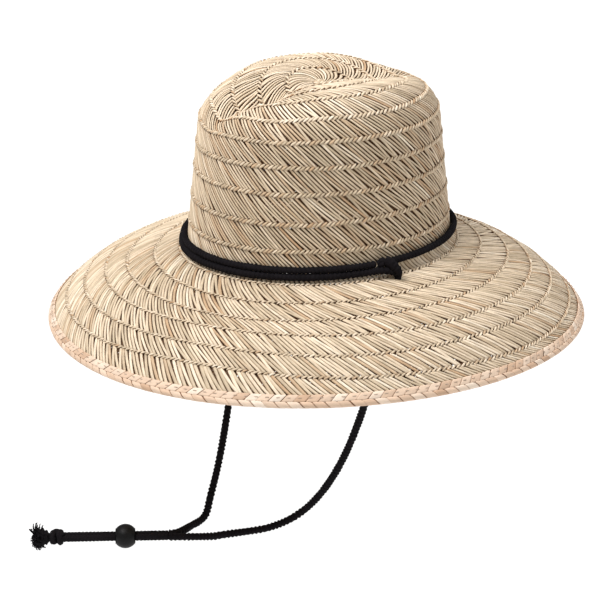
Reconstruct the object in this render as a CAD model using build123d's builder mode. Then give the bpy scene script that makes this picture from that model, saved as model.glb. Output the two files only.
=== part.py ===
from build123d import *
from math import cos, sin, pi, exp, radians
import os

# Straw sun hat with a creased crown, a drooping brim and a chin cord.
# Millimetres. +Z is up through the crown, -Y is the wearer's front, +X the wearer's left.
# The origin is the centre of the head opening, where the crown meets the brim.
# A "turn" is an angle round the hat: 0 at the front, 90 at +X, 180 at the back.

# ---- crown ----
crown_half_length = 104.0   # outside, front to back, at the head opening
crown_half_width = 89.5     # outside, side to side
crown_height = 129.5
crown_taper = 8.5           # how far the wall leans in by the top of the wall
shoulder_radius = 39.0
dome_rise = 5.0
weave_thickness = 3.0       # two crossed layers of straw

# ---- crease in the top of the crown ----
crease_depth = 13.0         # along the whole crease
crease_front_depth = 12.0   # added where the crease opens at the front
crease_width = 26.0         # half of it, at the middle of the crown
crease_widening = 8.0       # added at the back, taken off at the front
crease_power = 1.5          # shape of the crease's section
pinch_depth = 3.5           # dents on both sides of the front
ridge_lift = 1.5            # folds that stand up beside the crease
# centre and half width of each of these, as a share of the crown's half length or half width
crease_front = (-0.50, 0.20)
crease_fade = (0.48, 0.98)  # from the first to the second the crease runs out
pinch_along, pinch_across = (-0.60, 0.25), (0.50, 0.26)
ridge_along = (0.12, 0.50)
ridge_across = (46.0, 17.0) # this one in millimetres
crease_low, crease_high = 86.0, 119.5    # below the first height the wall is left alone

# ---- brim ----
neck_radius = 8.6           # the turn from crown wall to brim
neck_slope = 16.7           # degrees below level, near the crown
straight_slant = 39.4
droop_radius = 119.7        # the brim curls down towards its edge
brim_slant = 125.6          # at the sides
front_reach = 1.9           # the brim is longer by this at the front, shorter at the back
front_lift = 6.5            # the front edge is higher than the back edge by twice this
side_lift = 2.4             # the side edges stand higher than the front and back
rise_reference = 126.5      # slant at which the two figures above are met

# ---- edge binding: plaited palm strip folded over the brim's edge ----
binding_reach = 6.6         # how far it covers the brim, on each face
binding_thickness = 1.1
binding_gap = 0.1
stitch_count = 84
stitch_length = 6.0
stitch_radius = 0.5
stitch_inset = 2.4          # from the binding's inner edge

# ---- sweatband ----
band_bottom, band_top = 1.5, 31.0
band_thickness = 1.5
band_gap = 0.3
band_stitch_count = 64
band_stitch_height = 5.0
band_stitch_length = 4.0
band_stitch_radius = 0.45
band_stitch_sink = 0.3                   # part of each dash lies in the cloth

# ---- cords ----
crown_cord_radius = 2.4
upper_run, upper_height = 2.6, 2.2      # cord centre, out from the wall and above the opening
lower_run, lower_height = 3.8, -2.8
knot_half_length, knot_radius, knot_end_radius = 4.6, 4.0, 2.0
knot_run, knot_height = 4.7, 4.2
knot_tail_radius = 1.9
knot_tail_ways = [Vector(4.2, 1.0, -0.8), Vector(7.4, 1.6, -3.2), Vector(9.4, 2.0, -6.2)]
knot_gap_turn = 3.9                      # degrees of turn left for the knot, each way
cord_radius = 2.6
hole_run = 10.0                          # hole centre, out from the crown wall
hole_back = 9.0                          # hole centre, behind the middle of the side
hole_radius = 3.2
hole_cut_height = 60.0                   # more than the brim's fall at the holes
pivot_height = -17.0                     # where the chin cord starts to swing, below the brim
pivot_gap = 0.2
left_points = [
    Vector(71.5, -2, -119.5),
    Vector(42.5, -14.5, -191.5),
    Vector(16, -38.5, -231),
    Vector(12.5, -68, -236),
    Vector(5, -99, -235.5),
]
left_first_way = Vector(-0.22, -0.05, -1)
right_points = [
    Vector(-67.5, -38.5, -125.5),
    Vector(-34, -76.5, -208.5),
    Vector(-27.2, -88.2, -233.6),
    Vector(-19.5, -101, -235),
]
right_first_way = Vector(0.18, -0.30, -1)

# ---- doubled tail, bead and tassel ----
tail_start = Vector(-4.7, -135.7, -229.6)
tail_way = Vector(-0.4665, -0.8845, 0.0).normalized()
tail_side = Vector(0.8845, -0.4665, 0.0).normalized()
tail_spacing = 2.7                       # half the distance between the two cords
tail_length = 77.5
end_knot_half_length, end_knot_radius, end_knot_end_radius = 4.8, 6.0, 3.0
end_knot_at = 82.6
tassel_pivot_at = 90.4
tassel_root_radius = 2.7
tassel_length = 22.0
tassel_radius = 7.5
tassel_widest = 0.45                     # where along its length
tassel_tip_radius = 6.0
bead_at = 30.5
bead_length = 15.0
bead_radius = 9.4
bead_bore_radius = 5.45

mean_radius = (crown_half_length + crown_half_width) / 2
wall_top = crown_height - dome_rise - shoulder_radius
dome_radius = mean_radius - crown_taper - shoulder_radius
neck_length = neck_radius * radians(90 - neck_slope)
droop_start = neck_length + straight_slant

os.makedirs("parts", exist_ok=True)


def ease(low, high, x):
    """0 below low, 1 above high, smooth between."""
    t = min(max((x - low) / (high - low), 0.0), 1.0)
    return t * t * (3 - 2 * t)


def bell(x, centre, width):
    return exp(-(((x - centre) / width) ** 2))


def crown_profile(level):
    """Mean radius and height: level 0-1 is the wall, 1-2 the shoulder, 2-3 the dome."""
    if level <= 1:
        return mean_radius - crown_taper * level, wall_top * level
    if level <= 2:
        a = radians(90 * (level - 1))
        return dome_radius + shoulder_radius * cos(a), wall_top + shoulder_radius * sin(a)
    t = 3 - level
    return dome_radius * t, crown_height - dome_rise * t * t


def crease_drop(x, y, z):
    """How far the crease and the pinches push the crown down."""
    along = y / crown_half_length
    across = abs(x) / crown_half_width
    depth = crease_depth + crease_front_depth * bell(along, *crease_front)
    width = crease_width + crease_widening * along
    drop = depth * (1 - ease(*crease_fade, along)) * exp(-((abs(x) / width) ** crease_power))
    drop += pinch_depth * bell(along, *pinch_along) * bell(across, *pinch_across)
    drop -= ridge_lift * bell(abs(x), *ridge_across) * bell(along, *ridge_along)
    return drop * ease(crease_low, crease_high, z)


def crown_surface(turn, level):
    radius, z = crown_profile(level)
    x = crown_half_width * radius / mean_radius * sin(radians(turn))
    y = -crown_half_length * radius / mean_radius * cos(radians(turn))
    return Vector(x, y, z - crease_drop(x, y, z))


def crown_point(turn, level, depth):
    """A point at a depth inside the crown's outer surface."""
    here = crown_surface(turn, level)
    if depth == 0:
        return here
    round_way = crown_surface(turn + 0.5, level) - crown_surface(turn - 0.5, level)
    up_way = crown_surface(turn, min(level + 0.01, 2.995)) - crown_surface(turn, level - 0.01)
    return here - round_way.cross(up_way).normalized() * depth


def crown_ring(level, depth, count=60):
    with BuildLine() as ring:
        points = [crown_point(360 * i / count, level, depth) for i in range(count)]
        if level <= 0:
            points = [Vector(p.X, p.Y, wall_top * level) for p in points]
        Spline(*points, periodic=True)
    return ring.wire()


def crown_form(depth, base_level):
    """Closed solid from rings up the wall, over the shoulder and in to the middle of the top."""
    levels = [base_level, 0.3, 0.6, 0.85] + [1 + 0.1 * i for i in range(20)]
    rings = [crown_ring(level, depth) for level in levels]
    middle = crown_surface(0, 3) - Vector(0, 0, depth)
    return Solid.make_loft(rings + [Vertex(middle.X, middle.Y, middle.Z)], ruled=True)


def brim_profile(slant):
    """Run out from the wall, fall, and slope in radians, at a distance along the brim."""
    if slant < neck_length:
        a = slant / neck_radius
        return neck_radius * (1 - cos(a)), neck_radius * sin(a), pi / 2 - a
    slope = radians(neck_slope)
    run = neck_radius * (1 - cos(pi / 2 - slope))
    fall = neck_radius * sin(pi / 2 - slope)
    straight = min(slant, droop_start) - neck_length
    run += straight * cos(slope)
    fall += straight * sin(slope)
    bend = max(slant - droop_start, 0) / droop_radius
    run += droop_radius * (sin(slope + bend) - sin(slope))
    fall += droop_radius * (cos(slope) - cos(slope + bend))
    return run, fall, slope + bend


def edge_slant(turn):
    """Length of the brim's slant from the head opening to its edge."""
    return brim_slant + front_reach * cos(radians(turn))


def edge_rise(turn, slant):
    """Lift of the front and of the sides, growing towards the edge."""
    rise = front_lift * cos(radians(turn)) - side_lift * cos(radians(2 * turn))
    return rise * slant / rise_reference


def brim_section_point(turn, slant, lift):
    """Run and height of a point at a distance above the brim's top surface."""
    run, fall, slope = brim_profile(slant)
    return run + lift * sin(slope), -fall + edge_rise(turn, slant) + lift * cos(slope)


def side_plane(turn):
    """Upright plane across the brim: x runs outwards from the crown wall, y up."""
    outward = Vector(sin(radians(turn)), -cos(radians(turn)), 0)
    foot = Vector(crown_half_width * outward.X, crown_half_length * outward.Y, 0)
    return Plane(origin=foot, x_dir=outward, z_dir=outward.cross(Vector(0, 0, 1)))


def brim_place(turn, slant, lift):
    """Plane on the brim: x along the brim's round, z away from its top surface."""
    plane = side_plane(turn)
    run, height = brim_section_point(turn, slant, lift)
    slope = brim_profile(slant)[2]
    normal = plane.x_dir * sin(slope) + Vector(0, 0, cos(slope))
    return Plane(origin=plane.from_local_coords((run, height, 0)), x_dir=plane.z_dir, z_dir=normal)


def oval_point(turn, run, height):
    """A point out from the crown's base oval."""
    return Vector(
        (crown_half_width + run) * sin(radians(turn)),
        -(crown_half_length + run) * cos(radians(turn)),
        height,
    )


def save(builder, name):
    builder.part.label = name
    export_step(builder.part, f"parts/{name}.step")


# where a section of the brim is measured, closest together in the neck
inner_slants = [0, 3, 7, neck_length, 22, 34, droop_start, 60, 75, 90, 105, 115]
section_turns = [15 * i for i in range(13)]     # front to back on one side; the other is mirrored


# ---- crown: closed straw cup, open at the bottom ----
with BuildPart() as crown:
    add(crown_form(0, 0))
    add(crown_form(weave_thickness, -0.03), mode=Mode.SUBTRACT)
save(crown, "crown")


# ---- brim: shell from the head opening to the edge, with a cord hole at each side ----
with BuildPart() as brim:
    for turn in section_turns:
        slants = inner_slants + [edge_slant(turn)]
        with BuildSketch(side_plane(turn)):
            with BuildLine():
                top = [brim_section_point(turn, s, 0) for s in slants]
                under = [brim_section_point(turn, s, -weave_thickness) for s in reversed(slants)]
                top_line = Spline(*top)
                Line(top_line @ 1, under[0])
                under_line = Spline(*under)
                Line(under_line @ 1, top[0])
            make_face()
    loft()
    mirror(about=Plane.YZ)
    with Locations(
        (crown_half_width + hole_run, hole_back, 0),
        (-crown_half_width - hole_run, hole_back, 0),
    ):
        Cylinder(hole_radius, hole_cut_height, mode=Mode.SUBTRACT)
save(brim, "brim")


# ---- rim_binding: strip folded over the edge, U-shaped in section ----
over = binding_gap + binding_thickness
below = -weave_thickness - over
with BuildPart() as rim_binding:
    for turn in section_turns:
        edge = edge_slant(turn)
        binding_slants = [edge - binding_reach, edge - binding_reach / 2, edge]
        with BuildSketch(side_plane(turn)):
            with BuildLine():
                top_line = Spline(*[brim_section_point(turn, s, over) for s in binding_slants])
                nose = brim_section_point(turn, edge + over, -weave_thickness / 2)
                bottom = [brim_section_point(turn, s, below) for s in reversed(binding_slants)]
                ThreePointArc(top_line @ 1, nose, bottom[0])
                bottom_line = Spline(*bottom)
                inside_slants = binding_slants[:2] + [edge + binding_gap]
                under = [
                    brim_section_point(turn, s, -weave_thickness - binding_gap)
                    for s in inside_slants
                ]
                Line(bottom_line @ 1, under[0])
                under_line = Spline(*under)
                inner = [
                    brim_section_point(turn, s, binding_gap) for s in reversed(inside_slants)
                ]
                Line(under_line @ 1, inner[0])
                inner_line = Spline(*inner)
                Line(inner_line @ 1, top_line @ 0)
            make_face()
    loft()
    mirror(about=Plane.YZ)
save(rim_binding, "rim_binding")


def thread_dash(radius, length):
    """One visible stitch: a short thread with rounded ends, along x."""
    with BuildPart() as dash:
        with BuildSketch(Plane.XZ):
            SlotOverall(length, 2 * radius)
            Rectangle(length, radius, align=(Align.CENTER, Align.MAX), mode=Mode.SUBTRACT)
        revolve(axis=Axis.X)
    return dash.part


# ---- binding_stitches: one row of thread dashes round the binding's top ----
binding_dash = thread_dash(stitch_radius, stitch_length)
with BuildPart() as binding_stitches:
    for i in range(stitch_count):
        turn = 360 * i / stitch_count
        with Locations(brim_place(turn, edge_slant(turn) - binding_reach + stitch_inset, over)):
            add(binding_dash)
save(binding_stitches, "binding_stitches")


def wall_shrink(height):
    """Size of the wall's oval at a height, against its size at the opening."""
    return 1 - crown_taper / mean_radius * height / wall_top


def band_axes(height, inset):
    shrink = wall_shrink(height)
    return crown_half_width * shrink - inset, crown_half_length * shrink - inset


# ---- sweatband: cloth band inside the head opening ----
band_outset = weave_thickness + band_gap
with BuildPart() as sweatband:
    for inset, mode in ((band_outset, Mode.ADD), (band_outset + band_thickness, Mode.SUBTRACT)):
        for height in (band_bottom, band_top):
            with BuildSketch(Plane.XY.offset(height)):
                Ellipse(*band_axes(height, inset))
        loft(mode=mode)
save(sweatband, "sweatband")


def band_place(turn):
    """Where a dash lies on the sweatband's inner face: x along the band."""
    inset = band_outset + band_thickness
    point = oval_point(turn, -inset - band_stitch_sink, band_stitch_height)
    ahead = oval_point(turn + 0.5, -inset - band_stitch_sink, band_stitch_height)
    return Plane(origin=point, x_dir=ahead - point, z_dir=Vector(0, 0, 1))


# ---- sweatband_stitches: dashes near the band's lower edge ----
band_dash = thread_dash(band_stitch_radius, band_stitch_length)
with BuildPart() as sweatband_stitches:
    with Locations(*[band_place(360 * i / band_stitch_count) for i in range(band_stitch_count)]):
        add(band_dash)
save(sweatband_stitches, "sweatband_stitches")


# ---- crown_cord: loop round the foot of the crown, open where its knot sits ----
with BuildPart() as crown_cord:
    with BuildLine(Plane.XY.offset(upper_height)) as loop_path:
        EllipticalCenterArc(
            (0, 0),
            crown_half_width + upper_run,
            crown_half_length + upper_run,
            start_angle=knot_gap_turn,
            arc_size=360 - 2 * knot_gap_turn,
        )
    with BuildSketch(Plane(origin=loop_path.line @ 0, z_dir=loop_path.line % 0)):
        Circle(crown_cord_radius)
    sweep(path=loop_path.line)
save(crown_cord, "crown_cord")


def spindle(length, radius, end_radius):
    """Rounded body of revolution about local z, with flat ends."""
    with BuildPart() as body:
        with BuildSketch(Plane.XZ):
            with BuildLine():
                bulge = ThreePointArc((end_radius, -length / 2), (radius, 0), (end_radius, length / 2))
                Polyline(bulge @ 1, (0, length / 2), (0, -length / 2), bulge @ 0)
            make_face()
        revolve(axis=Axis.Z)
    return body.part


# ---- side_knot and its cut end, on the wearer's left ----
knot_centre = oval_point(90, knot_run, knot_height)
with BuildPart() as side_knot:
    with Locations(Plane(origin=knot_centre, z_dir=(0, 1, 0))):
        add(spindle(2 * knot_half_length, knot_radius, knot_end_radius))
save(side_knot, "side_knot")

with BuildPart() as side_knot_tail:
    with BuildLine() as tail_path:
        Spline(*[knot_centre + way for way in knot_tail_ways])
    with BuildSketch(Plane(origin=tail_path.line @ 0, z_dir=tail_path.line % 0)):
        Circle(knot_tail_radius)
    sweep(path=tail_path.line)
save(side_knot_tail, "side_knot_tail")


# ---- chin_cord_crown_run: hole, round the front on the brim's neck, hole ----
hole_x = crown_half_width + hole_run
run_end_height = pivot_height + cord_radius + pivot_gap
rise_top = -7.4             # the straight rise through the hole ends here
join_turn = 82.0            # from here forward the run follows the crown
bend_way = Vector(-1.2, -5.5, 4.4)      # from the top of the rise to the middle of the bend
with BuildPart() as chin_cord_crown_run:
    with BuildLine() as run_path:
        join = oval_point(join_turn, lower_run, lower_height)
        past = oval_point(join_turn - 0.5, lower_run, lower_height)
        heading = (past - join).normalized()
        up_left = Line((hole_x, hole_back, run_end_height), (hole_x, hole_back, rise_top))
        bend_left = Spline(
            up_left @ 1,
            (hole_x + bend_way.X, hole_back + bend_way.Y, rise_top + bend_way.Z),
            join,
            tangents=[(0, 0, 1), heading],
        )
        EllipticalCenterArc(
            (0, 0, lower_height),
            crown_half_width + lower_run,
            crown_half_length + lower_run,
            start_angle=join_turn - 90,
            arc_size=-2 * join_turn,
        )
        far_join = Vector(-join.X, join.Y, join.Z)
        bend_right = Spline(
            far_join,
            (-hole_x - bend_way.X, hole_back + bend_way.Y, rise_top + bend_way.Z),
            (-hole_x, hole_back, rise_top),
            tangents=[(heading.X, -heading.Y, 0), (0, 0, -1)],
        )
        Line(bend_right @ 1, (-hole_x, hole_back, run_end_height))
    with BuildSketch(Plane(origin=up_left @ 0, z_dir=(0, 0, 1))):
        Circle(cord_radius)
    sweep(path=run_path.wire())
save(chin_cord_crown_run, "chin_cord_crown_run")


# ---- chin_cord_left and chin_cord_right: from the brim's holes down to where they meet ----
def hanging_cord(points, first_way, side):
    start = points[0]
    end = tail_start - tail_way * (cord_radius + pivot_gap) + tail_side * side * tail_spacing
    with BuildPart() as cord:
        with BuildLine() as path:
            Spline(*points, end, tangents=[first_way, tail_way])
        with BuildSketch(Plane(origin=path.line @ 0, z_dir=path.line % 0)):
            Circle(cord_radius)
        sweep(path=path.line)
        with Locations(start):
            Sphere(cord_radius)
    return cord


left_pivot = Vector(hole_x, hole_back, pivot_height)
chin_cord_left = hanging_cord([left_pivot, *left_points], left_first_way, 1)
save(chin_cord_left, "chin_cord_left")

right_pivot = Vector(-hole_x, hole_back, pivot_height)
chin_cord_right = hanging_cord([right_pivot, *right_points], right_first_way, -1)
save(chin_cord_right, "chin_cord_right")


def tail_place(distance, side=0.0):
    """Plane across the doubled tail, its z along the tail."""
    origin = tail_start + tail_way * distance + tail_side * side * tail_spacing
    return Plane(origin=origin, x_dir=tail_side, z_dir=tail_way)


def tail_cord(side):
    with BuildPart() as cord:
        with BuildSketch(tail_place(0, side)):
            Circle(cord_radius)
        extrude(amount=tail_length)
        with Locations(tail_place(0, side)):
            Sphere(cord_radius)
    return cord


# ---- tail_cord_left and tail_cord_right: the doubled tail, side by side ----
tail_cord_left = tail_cord(1)
save(tail_cord_left, "tail_cord_left")
tail_cord_right = tail_cord(-1)
save(tail_cord_right, "tail_cord_right")


# ---- end_knot: both cords tied together ----
with BuildPart() as end_knot:
    with Locations(tail_place(end_knot_at)):
        add(spindle(2 * end_knot_half_length, end_knot_radius, end_knot_end_radius))
save(end_knot, "end_knot")


# ---- tassel: the frayed ends, flaring from the knot ----
with BuildPart() as tassel:
    with BuildSketch(tail_place(tassel_pivot_at)):
        Circle(tassel_root_radius)
    with BuildSketch(tail_place(tassel_pivot_at + tassel_length * tassel_widest)):
        Circle(tassel_radius)
    with BuildSketch(tail_place(tassel_pivot_at + tassel_length)):
        Circle(tassel_tip_radius)
    loft()
    with Locations(tail_place(tassel_pivot_at)):
        Sphere(tassel_root_radius)
save(tassel, "tassel")


# ---- slider_bead: ball with two flat faces and a bore for both cords ----
with BuildPart() as slider_bead:
    with Locations(tail_place(bead_at)):
        Sphere(bead_radius)
        Cylinder(bead_radius, bead_length, mode=Mode.INTERSECT)
        Cylinder(bead_bore_radius, 2 * bead_length, mode=Mode.SUBTRACT)
save(slider_bead, "slider_bead")
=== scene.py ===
"""Straw sun hat: the visual model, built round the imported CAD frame.

Sizes are in millimetres until a mesh is made. A "turn" is an angle in degrees round the hat,
0 at the front (-Y), 90 at the wearer's left (+X). A "slant" is a distance along the surface,
from the middle of the top on the crown and from the head opening on the brim.
"""
import math

import bpy
import numpy as np
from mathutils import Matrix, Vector


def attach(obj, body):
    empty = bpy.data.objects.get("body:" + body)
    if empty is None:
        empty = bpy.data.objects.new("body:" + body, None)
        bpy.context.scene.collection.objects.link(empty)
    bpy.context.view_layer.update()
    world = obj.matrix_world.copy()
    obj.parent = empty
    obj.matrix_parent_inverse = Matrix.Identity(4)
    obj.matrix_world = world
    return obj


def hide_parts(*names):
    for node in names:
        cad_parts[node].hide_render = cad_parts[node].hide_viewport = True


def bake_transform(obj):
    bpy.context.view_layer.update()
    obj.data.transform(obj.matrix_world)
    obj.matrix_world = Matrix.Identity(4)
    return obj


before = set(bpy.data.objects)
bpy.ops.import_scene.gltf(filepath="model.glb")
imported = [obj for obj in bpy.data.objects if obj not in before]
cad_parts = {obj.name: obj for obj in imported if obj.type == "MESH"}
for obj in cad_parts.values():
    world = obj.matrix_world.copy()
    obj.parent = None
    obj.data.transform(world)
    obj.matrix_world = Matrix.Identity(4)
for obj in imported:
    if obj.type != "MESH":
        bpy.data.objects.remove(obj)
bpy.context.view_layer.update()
MM = 0.001
rng = np.random.default_rng(11)

# ---- the hat's form, as in the CAD ----
HALF_LENGTH, HALF_WIDTH = 104.0, 89.5
HEIGHT, TAPER, SHOULDER, DOME = 129.5, 8.5, 39.0, 5.0
MEAN = (HALF_LENGTH + HALF_WIDTH) / 2
WALL_TOP = HEIGHT - DOME - SHOULDER
DOME_RADIUS = MEAN - TAPER - SHOULDER
SHOULDER_LENGTH = SHOULDER * math.pi / 2
WALL_LENGTH = math.hypot(WALL_TOP, TAPER)
CROWN_SLANT = DOME_RADIUS + SHOULDER_LENGTH + WALL_LENGTH
NECK_RADIUS, NECK_SLOPE = 8.6, math.radians(16.7)
NECK_LENGTH = NECK_RADIUS * (math.pi / 2 - NECK_SLOPE)
STRAIGHT_LENGTH, DROOP_RADIUS = 39.4, 119.7
DROOP_START = NECK_LENGTH + STRAIGHT_LENGTH
BRIM_SLANT, FRONT_REACH = 125.6, 1.9
FRONT_LIFT, SIDE_LIFT, RISE_REFERENCE = 6.5, 2.4, 126.5
STRAW_LAYERS = 3.0
CREASE_DEPTH, CREASE_FRONT_DEPTH = 13.0, 12.0
CREASE_WIDTH, CREASE_WIDENING, CREASE_POWER = 26.0, 8.0, 1.5
CREASE_FRONT, CREASE_FADE = (-0.50, 0.20), (0.48, 0.98)
PINCH_DEPTH, PINCH_ALONG, PINCH_ACROSS = 3.5, (-0.60, 0.25), (0.50, 0.26)
RIDGE_LIFT, RIDGE_ALONG, RIDGE_ACROSS = 1.5, (0.12, 0.50), (46.0, 17.0)
CREASE_LOW, CREASE_HIGH = 86.0, 119.5
HOLE = np.array([HALF_WIDTH + 10.0, 9.0])
HOLE_RADIUS, HOLE_REACH = 3.2, 9.0


def ease(low, high, x):
    t = np.clip((x - low) / (high - low), 0, 1)
    return t * t * (3 - 2 * t)


def bell(x, centre, width):
    return np.exp(-(((x - centre) / width) ** 2))


def crown_at(turn, slant):
    """Points on the crown's outer surface."""
    turn, slant = np.broadcast_arrays(np.radians(turn), np.asarray(slant, float))
    flat = np.clip(slant / DOME_RADIUS, 0, 1)
    bend = np.clip((slant - DOME_RADIUS) / SHOULDER, 0, math.pi / 2)
    down = np.clip((slant - DOME_RADIUS - SHOULDER_LENGTH) / WALL_LENGTH, 0, 2)
    radius = DOME_RADIUS * flat + SHOULDER * np.sin(bend) + TAPER * down
    z = HEIGHT - DOME * flat**2 - SHOULDER * (1 - np.cos(bend)) - WALL_TOP * down
    x = HALF_WIDTH * radius / MEAN * np.sin(turn)
    y = -HALF_LENGTH * radius / MEAN * np.cos(turn)
    along, across = y / HALF_LENGTH, np.abs(x) / HALF_WIDTH
    width = CREASE_WIDTH + CREASE_WIDENING * along
    drop = CREASE_DEPTH + CREASE_FRONT_DEPTH * bell(along, *CREASE_FRONT)
    drop = drop * (1 - ease(*CREASE_FADE, along)) * np.exp(-((np.abs(x) / width) ** CREASE_POWER))
    drop = drop + PINCH_DEPTH * bell(along, *PINCH_ALONG) * bell(across, *PINCH_ACROSS)
    drop = drop - RIDGE_LIFT * bell(np.abs(x), *RIDGE_ACROSS) * bell(along, *RIDGE_ALONG)
    return np.stack([x, y, z - drop * ease(CREASE_LOW, CREASE_HIGH, z)], -1)


def brim_at(turn, slant):
    """Points on the brim's top surface."""
    turn, slant = np.broadcast_arrays(np.radians(turn), np.asarray(slant, float))
    neck = np.clip(slant / NECK_RADIUS, 0, math.pi / 2 - NECK_SLOPE)
    straight = np.clip(slant, NECK_LENGTH, DROOP_START) - NECK_LENGTH
    bend = np.clip((slant - DROOP_START) / DROOP_RADIUS, 0, None)
    run = NECK_RADIUS * (1 - np.cos(neck)) + straight * math.cos(NECK_SLOPE)
    run = run + DROOP_RADIUS * (np.sin(NECK_SLOPE + bend) - math.sin(NECK_SLOPE))
    fall = NECK_RADIUS * np.sin(neck) + straight * math.sin(NECK_SLOPE)
    fall = fall + DROOP_RADIUS * (math.cos(NECK_SLOPE) - np.cos(NECK_SLOPE + bend))
    rise = (FRONT_LIFT * np.cos(turn) - SIDE_LIFT * np.cos(2 * turn)) * slant / RISE_REFERENCE
    x = (HALF_WIDTH + run) * np.sin(turn)
    y = -(HALF_LENGTH + run) * np.cos(turn)
    return np.stack([x, y, rise - fall], -1)


def edge_slant(turn):
    """Length of the brim's slant from the head opening to its edge."""
    return BRIM_SLANT + FRONT_REACH * np.cos(np.radians(turn))


def unit(v):
    return v / np.maximum(np.linalg.norm(v, axis=-1, keepdims=True), 1e-9)


def surface_frame(surface, turn, slant):
    """Point, way round, and outward normal; the way round keeps its length per degree."""
    round_way = (surface(turn + 0.2, slant) - surface(turn - 0.2, slant)) / 0.4
    low = np.maximum(slant - 0.25, 0.02)
    down_way = surface(turn, low + 0.5) - surface(turn, low)
    return surface(turn, slant), round_way, unit(np.cross(down_way, round_way))


# ---- meshes ----
CELL_MARGIN, RING_MARGIN = 0.06, 0.02   # bare edge of one bake cell, as a share of it


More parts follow.
